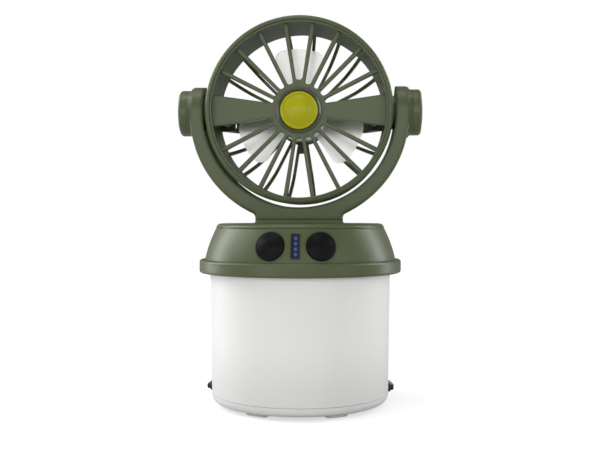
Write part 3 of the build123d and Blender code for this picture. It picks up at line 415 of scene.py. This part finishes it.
# %% [markdown]
# ## Moulded plastics
# Most of the object is one olive green plastic with a fine satin grain. The mould leaves it even, so the
# variation is small: grain in the bump, a slight drift in polish and a paler rub along edges. The same recipe
# with other numbers gives the dark chassis, the white lamp parts and the switches.

# %% Moulded plastic recipe
def moulded_plastic(name, colour, roughness, wear=0.35, soft=0.0005):
    material, tree, shader, grain, handled = start_surface(
        name, roughness, polish=0.10, grain_scale=2600.0, contrast=0.06)
    edge = place_group(tree, edge_group, Radius=0.0006, Amount=wear)
    pale = tuple(min(1.0, 1.35 * part + 0.03) for part in colour)
    toned = mix_colour(tree, edge.outputs["Mask"], both_tones(tree, colour, grain, handled), pale)
    link(tree, toned, shader.inputs["Base Color"])
    edge_normal = place_group(tree, soft_group, Radius=soft).outputs["Normal"]
    normal = bump_normal(tree, grain.outputs["Height"], 0.35, 0.00002, under=edge_normal)
    link(tree, normal, shader.inputs["Normal"])
    return material


# %% [markdown]
# The yoke is a thick bar with generous edges, so its soft edge is six times wider than that of the thin spokes.

# %% Moulded plastics
olive = (0.082, 0.104, 0.041)
materials = {}
materials["green_plastic"] = moulded_plastic("olive_plastic", olive, roughness=0.40)
yoke_plastic = moulded_plastic("yoke_plastic", olive, roughness=0.40, soft=0.0030)
materials["dark_plastic"] = moulded_plastic("chassis_plastic", (0.010, 0.010, 0.011), roughness=0.55)
materials["white_plastic"] = moulded_plastic("lamp_plastic", (0.82, 0.82, 0.80), roughness=0.35, wear=0.1)
materials["switch_black"] = moulded_plastic("switch_plastic", (0.012, 0.012, 0.012), roughness=0.5, wear=0.1)
print("moulded:", sorted(materials))

# %% [markdown]
# ## Frosted plastic
# The lens and the cap under it are clear plastic with a frosted face: light goes in and scatters, so the surface
# is an even pale grey with a sparkle of fine grain, and a painted shade makes it greyer from the top towards the
# foot. A little transmission lets what is inside tint it. The blades are the same plastic, hardly frosted, so
# they take most of their light from behind.

# %% Frosted plastic recipe
def frosted_plastic(name, top_colour, painted_shade_foot_colour, top, foot, transmission, roughness=0.46):
    material, tree, shader, grain, _ = start_surface(
        name, roughness, polish=0.08, grain_scale=2200.0, contrast=0.16)
    split = add_node(tree, "SeparateXYZ")
    link(tree, object_place(tree), split.inputs[0])
    # Painted shade: by height, the colour goes from the top colour down to the darker foot colour, standing in
    # for the lower part getting less light.
    rise = map_range(tree, split.outputs["Z"], foot, top, 0.0, 1.0, smooth=True)
    base = mix_colour(tree, rise, painted_shade_foot_colour, top_colour)
    link(tree, mix_colour(tree, 1.0, base, grain.outputs["Tone"], "MULTIPLY"), shader.inputs["Base Color"])
    set_inputs(shader, Transmission_Weight=transmission, IOR=1.45, Specular_IOR_Level=0.35)
    link(tree, bump_normal(tree, grain.outputs["Height"], 0.3, 0.00003), shader.inputs["Normal"])
    return material


# %% Frosted plastics
blade_colour = (0.97, 0.97, 0.94)
# The lens gets a painted shade, darker towards the foot; the blades get one colour top and foot, so no shade is
# painted on them.
materials["diffuser"] = frosted_plastic("frosted_lens", (0.95, 0.95, 0.935), (0.80, 0.80, 0.785),
                                        top=0.045, foot=0.004, transmission=0.04)
materials["clear_blade"] = frosted_plastic("frosted_blade", blade_colour, blade_colour,
                                           top=0.21, foot=0.13, transmission=0.96, roughness=0.33)
print("frosted: diffuser, clear_blade")

# %% [markdown]
# ## Rubber
# The keys are black rubber with a soft sheen and faint turning marks, the feet and the port's flap
# are softer rubber. Rubber looks right with a high roughness, a little sheen and a dull edge instead of a rubbed
# one. Each key gets rings about the way it is pressed, so the marks stay round on its slanted face.

# %% Rubber recipe
def rubber(name, colour, roughness, sheen=0.3, shine=0.4, rings=None):
    material, tree, shader, grain, _ = start_surface(
        name, roughness, polish=0.18, grain_scale=1800.0, contrast=0.25)
    link(tree, mix_colour(tree, 1.0, colour, grain.outputs["Tone"], "MULTIPLY"), shader.inputs["Base Color"])
    set_inputs(shader, Sheen_Weight=sheen, Sheen_Roughness=0.4, Specular_IOR_Level=shine)
    ridges = None
    if rings:
        ridges = bump_normal(tree, place_group(tree, ring_group, **rings).outputs["Height"], 0.6, 0.00008)
    link(tree, bump_normal(tree, grain.outputs["Height"], 0.5, 0.00004, under=ridges), shader.inputs["Normal"])
    return material


def key_finish(node, joint):
    low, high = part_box(node)
    rings = {"Centre": tuple((low + high) / 2), "Axis": tuple(joint_axes[joint]),
             "Pitch": 0.00095, "Inner": 0.0028, "Outer": 0.0070}
    return rubber(node + "_rubber", (0.0045, 0.0045, 0.005), roughness=0.40, sheen=0.0, shine=0.13, rings=rings)


# %% Rubbers
materials["black_rubber"] = rubber("grommet_rubber", (0.010, 0.010, 0.011), roughness=0.5, sheen=0.1)
materials["foot_rubber"] = rubber("foot_rubber", (0.66, 0.66, 0.65), roughness=0.6)
materials["port_rubber"] = rubber("flap_rubber", (0.105, 0.125, 0.066), roughness=0.62)
key_rubber = {"fan_button": key_finish("fan_button", "fan_key_press"),
              "lamp_button": key_finish("lamp_button", "lamp_key_press")}
print("keys with rings:", sorted(key_rubber))

# %% [markdown]
# ## Glossy pieces
# The hub dome is a polished yellow-green plastic, the charge window a smoked navy one, and its four lights
# and the lamp chips are clear caps over coloured bodies. They get a clear coat over a barely varying colour. The
# lights also glow a little in their own colour.

# %% Gloss recipe
def gloss_plastic(name, colour, roughness, coat=0.6, glow=0.0, clear=0.0, shine=0.5):
    material, tree, shader, grain, handled = start_surface(
        name, roughness, polish=0.06, grain_scale=900.0, contrast=0.10)
    link(tree, both_tones(tree, colour, grain, handled), shader.inputs["Base Color"])
    set_inputs(shader, Coat_Weight=coat, Coat_Roughness=0.06, Transmission_Weight=clear, Specular_IOR_Level=shine)
    if glow:
        set_inputs(shader, Emission_Color=(*colour, 1), Emission_Strength=glow)
    return material


# %% Glossy plastics
materials["lime_gloss"] = gloss_plastic(
    "hub_dome_plastic", (0.44, 0.435, 0.0), roughness=0.30, coat=0.05, shine=0.3)
materials["navy_window"] = gloss_plastic(
    "window_plastic", (0.13, 0.155, 0.41), roughness=0.10, coat=0.2, clear=1.0)
materials["violet_light"] = gloss_plastic("charge_light", (0.52, 0.56, 0.72), roughness=0.25, glow=0.8)
materials["led_yellow"] = gloss_plastic("lamp_chip", (0.78, 0.56, 0.08), roughness=0.3, coat=0.3)
materials["cell_wrap"] = gloss_plastic("cell_wrap", (0.02, 0.10, 0.36), roughness=0.3, coat=0.3)
trim_finish = gloss_plastic("polished_trim", (0.045, 0.055, 0.035), roughness=0.16, coat=0.8)
print("glossy: lime_gloss, navy_window, violet_light, led_yellow, cell_wrap and the trim")

# %% [markdown]
# ## Metals
# Drawn and plated steel has fine lines along one direction and a few dull spots. The bail is bright plated
# wire. The metal itself is the plain shader with a metallic of 1; only colour, polish and bump vary. A Mapping
# node squeezes the noise across the lines, which is what draws it out into them.

# %% Metal recipe
def plated_metal(name, colour, roughness, stretch=(1, 1, 12)):
    material, tree, shader = start_material(name)
    along = set_inputs(add_node(tree, "Mapping"), Scale=stretch)
    link(tree, object_place(tree), along.inputs["Vector"])
    brushed = set_inputs(add_node(tree, "TexNoise"), Scale=900.0, Detail=2.0)
    link(tree, along.outputs[0], brushed.inputs["Vector"])
    lines = map_range(tree, brushed.outputs["Fac"], 0.3, 0.7, 0.9, 1.06)
    link(tree, mix_colour(tree, 1.0, colour, lines, "MULTIPLY"), shader.inputs["Base Color"])
    handled = place_group(tree, handling_group, Polish=0.12, Roughness=roughness)
    link(tree, handled.outputs["Roughness"], shader.inputs["Roughness"])
    shader.inputs["Metallic"].default_value = 1.0
    link(tree, bump_normal(tree, brushed.outputs["Fac"], 0.2, 0.00002), shader.inputs["Normal"])
    return material


# %% Metals
materials["chrome_wire"] = plated_metal("bail_chrome", (0.80, 0.81, 0.82), roughness=0.10, stretch=(4, 4, 1))
materials["steel"] = plated_metal("screw_steel", (0.55, 0.56, 0.57), roughness=0.32)
materials["motor_steel"] = plated_metal("motor_steel", (0.50, 0.50, 0.51), roughness=0.28, stretch=(10, 1, 10))
materials["nickel"] = plated_metal("nickel_strip", (0.62, 0.59, 0.52), roughness=0.35)
print("metals: chrome_wire, steel, motor_steel, nickel")

# %% [markdown]
# ## Circuit boards
# A board is a green varnish over copper. The tracks under the varnish show as slightly lighter lines, which
# a stretched brick pattern gives without drawing anything.

# %% Circuit board
materials["circuit_board"], tree, shader = start_material("board_varnish")
tracks = add_node(tree, "TexBrick", offset=0.37, squash=1.6)
set_inputs(tracks, Scale=260.0, Mortar_Size=0.06, Mortar_Smooth=0.2)
set_inputs(tracks, Color1=(0.010, 0.085, 0.032, 1), Color2=(0.012, 0.100, 0.038, 1),
           Mortar=(0.030, 0.170, 0.070, 1))
link(tree, object_place(tree), tracks.inputs["Vector"])
link(tree, tracks.outputs["Color"], shader.inputs["Base Color"])
board_handled = place_group(tree, handling_group, Polish=0.1, Roughness=0.28)
link(tree, board_handled.outputs["Roughness"], shader.inputs["Roughness"])
print("materials:", sorted(materials))

# %% [markdown]
# ## Dress the solids
# Each node knows its slot from the record, so one loop gives every solid its finish. The two keys and the yoke
# have a finish of their own.

# %% Dress the solids
own_finish = {**key_rubber, "yoke": yoke_plastic}
dressed = {}
for name, thing in nodes.items():
    for slot in thing.material_slots:
        finish = slot.material.name
        slot.material = own_finish.get(name, materials[finish])
        dressed.setdefault(finish, []).append(name)
for finish, names in sorted(dressed.items()):
    print(finish, names)

# %% [markdown]
# ## Turned pieces
# Small round pieces are drawn as half a section and spun about their axis, as they would be on a lathe. The
# section's points are (distance from the axis, height) in millimetres, and the piece is then laid along its
# real axis. The place goes into the mesh, so every object stays at the origin, as the solids do.

# %% Turning helpers
crease_angle = radians(40)


def arc_points(height, radius, start, end, steps, middle=0.0):
    """Points on an arc about (middle, height), angles in degrees from the radius direction."""
    angles = [radians(start + (end - start) * n / steps) for n in range(steps + 1)]
    return [(middle + radius * cos(a), height + radius * sin(a)) for a in angles]


def put(name, bm, place, material, body):
    """Lay the mesh in its place, dress it and let it ride on its body."""
    bmesh.ops.remove_doubles(bm, verts=bm.verts, dist=0.000001)
    bmesh.ops.transform(bm, matrix=place, verts=bm.verts)
    bmesh.ops.recalc_face_normals(bm, faces=bm.faces)
    mesh = bpy.data.meshes.new(name)
    bm.to_mesh(mesh)
    bm.free()
    mesh.materials.append(material)
    mesh.polygons.foreach_set("use_smooth", [True] * len(mesh.polygons))
    mesh.set_sharp_from_angle(angle=crease_angle)
    piece = bpy.data.objects.new(name, mesh)
    bpy.context.scene.collection.objects.link(piece)
    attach(piece, body)
    print(name, len(mesh.polygons), "faces on", body)
    return piece


def turned(name, section, place, material, body, closed=False, steps=72):
    bm = bmesh.new()
    line = [bm.verts.new((radius * MM, 0, height * MM)) for radius, height in section]
    pairs = list(zip(line, line[1:])) + ([(line[-1], line[0])] if closed else [])
    edges = [bm.edges.new(pair) for pair in pairs]
    bmesh.ops.spin(bm, geom=line + edges, axis=(0, 0, 1), angle=2 * pi, steps=steps, use_merge=True)
    return put(name, bm, place, material, body)


# %% [markdown]
# ### Hub dome
# The yellow dome is one moulding with a rounded rim, a narrow groove and a crown inside the groove. The groove
# is there to hide the sink mark of the stem behind it. The crown is part of a large ball, whose radius follows
# from how wide and how high the crown is.

# %% Hub dome
low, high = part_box("hub_dome")
pivot_height = (low.z + high.z) / 2
facing_front = Matrix.Rotation(radians(90), 4, "X")
rise = (high.y - low.y) / MM
rim_radius = (high.x - low.x) / 2 / MM
stem_radius, seat_height = 3.8, 2.8
wall_top, rim_roll = 5.1, 0.9
crown_radius, crown_rise = 9.0, 3.0
crown_ball = (crown_radius ** 2 + crown_rise ** 2) / (2 * crown_rise)
crown_start = degrees(acos(crown_radius / crown_ball))
section = [(0, 0), (stem_radius, 0), (stem_radius, seat_height), (rim_radius, seat_height)]
section += arc_points(wall_top, rim_roll, 0, 90, 6, middle=rim_radius - rim_roll)
section += [(rim_radius - 1.5, 5.9), (crown_radius + 0.35, 5.5)]
section += arc_points(rise - crown_ball, crown_ball, crown_start, 90, 14)
dome_place = Matrix.Translation((0, high.y, pivot_height)) @ facing_front
dome = turned("yellow_hub_dome", section, dome_place, materials["lime_gloss"], "head")
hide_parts("hub_dome")

# %% [markdown]
# ### Trim ring
# Round the dome sits a polished ring whose inner face slopes towards the dome, so that it shows one bright
# crescent. Its section is closed, because the ring has a hole in the middle.

# %% Trim ring
inner_radius, outer_radius = rim_radius + 0.45, rim_radius + 2.0
back, side_height, roll = 0.04, 0.3, 0.35
section = [(inner_radius, back), (outer_radius, back), (outer_radius, side_height)]
section += arc_points(roll, roll, 0, 100, 5, middle=rim_radius + 1.62) + [(inner_radius, 0.12)]
trim_place = Matrix.Translation((0, low.y + seat_height * MM, pivot_height)) @ facing_front
turned("dome_trim_ring", section, trim_place, trim_finish, "head", closed=True)

# %% [markdown]
# ### Rubber boots of the bail
# Where the wire turns into the lantern it wears a short black boot, which stops it from rattling. The boots
# are part of the wire and turn with it.

# %% Bail boots
low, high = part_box("bail_grommets")
bail_axis = Vector((0, 0, (low.z + high.z) / 2))
bore, flange, shoulder, tip = 1.12, 1.75, 1.45, 1.3
start, flange_end, shoulder_end, boot_end = 0.08, 0.5, 1.5, 1.9
section = [(bore, start), (flange, start), (flange, flange_end), (shoulder, shoulder_end),
           (tip, boot_end), (bore, boot_end)]
for name, side in (("bail_boot_left", -1), ("bail_boot_right", 1)):
    outward = Matrix.Rotation(radians(90 * side), 4, "Y")
    boot_place = Matrix.Translation(bail_axis + Vector((side * high.x, 0, 0))) @ outward
    turned(name, section, boot_place, materials["black_rubber"], "bail", closed=True, steps=32)

# %% [markdown]
# ## The window's own directions
# The window lies on the slope between the keys, so the mean of the two pressing ways points into it. That way
# and the steepest line up the slope are all that the next two pieces need.

# %% Window directions
inward = (Vector(joint_axes["fan_key_press"]) + Vector(joint_axes["lamp_key_press"])).normalized()
upward = Vector((0, 0, 1)) - inward * inward.z
upward.normalize()
turn = Matrix((Vector((1, 0, 0)), upward, -inward)).transposed().to_4x4()


def middle_and_corners(node):
    corners = [vertex.co for vertex in nodes[node].data.vertices]
    return sum(corners, Vector()) / len(corners), corners


print("slope of the window in degrees:", round(degrees(acos(upward.z)), 1))

# %% [markdown]
# ### Frame of the charge window
# A thin black frame is pressed round the window. It is a rounded plate whose middle is inset and taken out; the
# rest is extruded to its height. A plane has only an outer edge, so the inset has to use it.

# %% Window frame
overhang, corner_radius, frame_width = 0.0005, 0.0008, 0.00065
frame_height, frame_sink = 0.00028, 0.00013
window_middle, corners = middle_and_corners("indicator_window")
face_depth = min((corner - window_middle).dot(inward) for corner in corners)
half_length = max((corner - window_middle).dot(upward) for corner in corners)
half_width = max(corner.x for corner in corners)
bm = bmesh.new()
bmesh.ops.create_grid(bm, x_segments=1, y_segments=1, size=1)
bmesh.ops.scale(bm, verts=bm.verts, vec=(half_width + overhang, half_length + overhang, 1))
bmesh.ops.bevel(bm, geom=bm.verts[:], offset=corner_radius, segments=4, profile=0.5, affect="VERTICES",
                material=-1)
bmesh.ops.inset_region(bm, faces=bm.faces[:], thickness=frame_width, use_even_offset=True, use_boundary=True)
bmesh.ops.delete(bm, geom=[max(bm.faces, key=lambda face: face.calc_area())], context="FACES")
rim = bmesh.ops.extrude_face_region(bm, geom=bm.faces[:])
raised = [part for part in rim["geom"] if isinstance(part, bmesh.types.BMVert)]
bmesh.ops.translate(bm, verts=raised, vec=(0, 0, frame_height))
frame_place = Matrix.Translation(window_middle + inward * (face_depth + frame_sink)) @ turn
put("window_frame", bm, frame_place, materials["dark_plastic"], "base")
print("window in mm:", round(half_width * 2000, 1), "by", round(half_length * 2000, 1))

# %% [markdown]
# ### Charge lights
# The four lights behind the window are small round caps with a rolled edge, so each shows as a soft dot. One
# short cone is made for each light, its rims are bevelled, and all four are laid along the window's slope. The
# row sits a millimetre up the slope, because the window is looked at from the front and not square on.

# %% Charge lights
dots_middle, corners = middle_and_corners("indicator_lights")
dot_size = 2 * max(corner.x - dots_middle.x for corner in corners)
dot_depth = 2 * max((corner - dots_middle).dot(inward) for corner in corners)
row_length = 2 * max((corner - dots_middle).dot(upward) for corner in corners)
dot_pitch = (row_length - dot_size) / 3
row_lift = 0.001
bm = bmesh.new()
for step in (-1.5, -0.5, 0.5, 1.5):
    spot = Matrix.Translation((0, step * dot_pitch, 0))
    bmesh.ops.create_cone(bm, cap_ends=True, segments=28, radius1=dot_size * 0.5, radius2=dot_size * 0.46,
                          depth=dot_depth, matrix=spot)
rims = [edge for edge in bm.edges if edge.calc_face_angle() > radians(60)]
bmesh.ops.bevel(bm, geom=rims, offset=dot_size * 0.12, segments=3, profile=0.5, affect="EDGES", material=-1)
dots_place = Matrix.Translation(dots_middle + upward * row_lift) @ turn
charge_lights = put("charge_light_caps", bm, dots_place, materials["violet_light"], "base")
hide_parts("indicator_lights")
print("lights in mm:", round(dot_size * 1000, 2), "across,", round(dot_pitch * 1000, 2), "apart")

# %% [markdown]
# ## Sizes and finish
# The box is measured again with everything in place, and its size is printed.

# %% Sizes and finish
low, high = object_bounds()
print("visual box in mm:", [round(v * 1000, 1) for v in high - low])
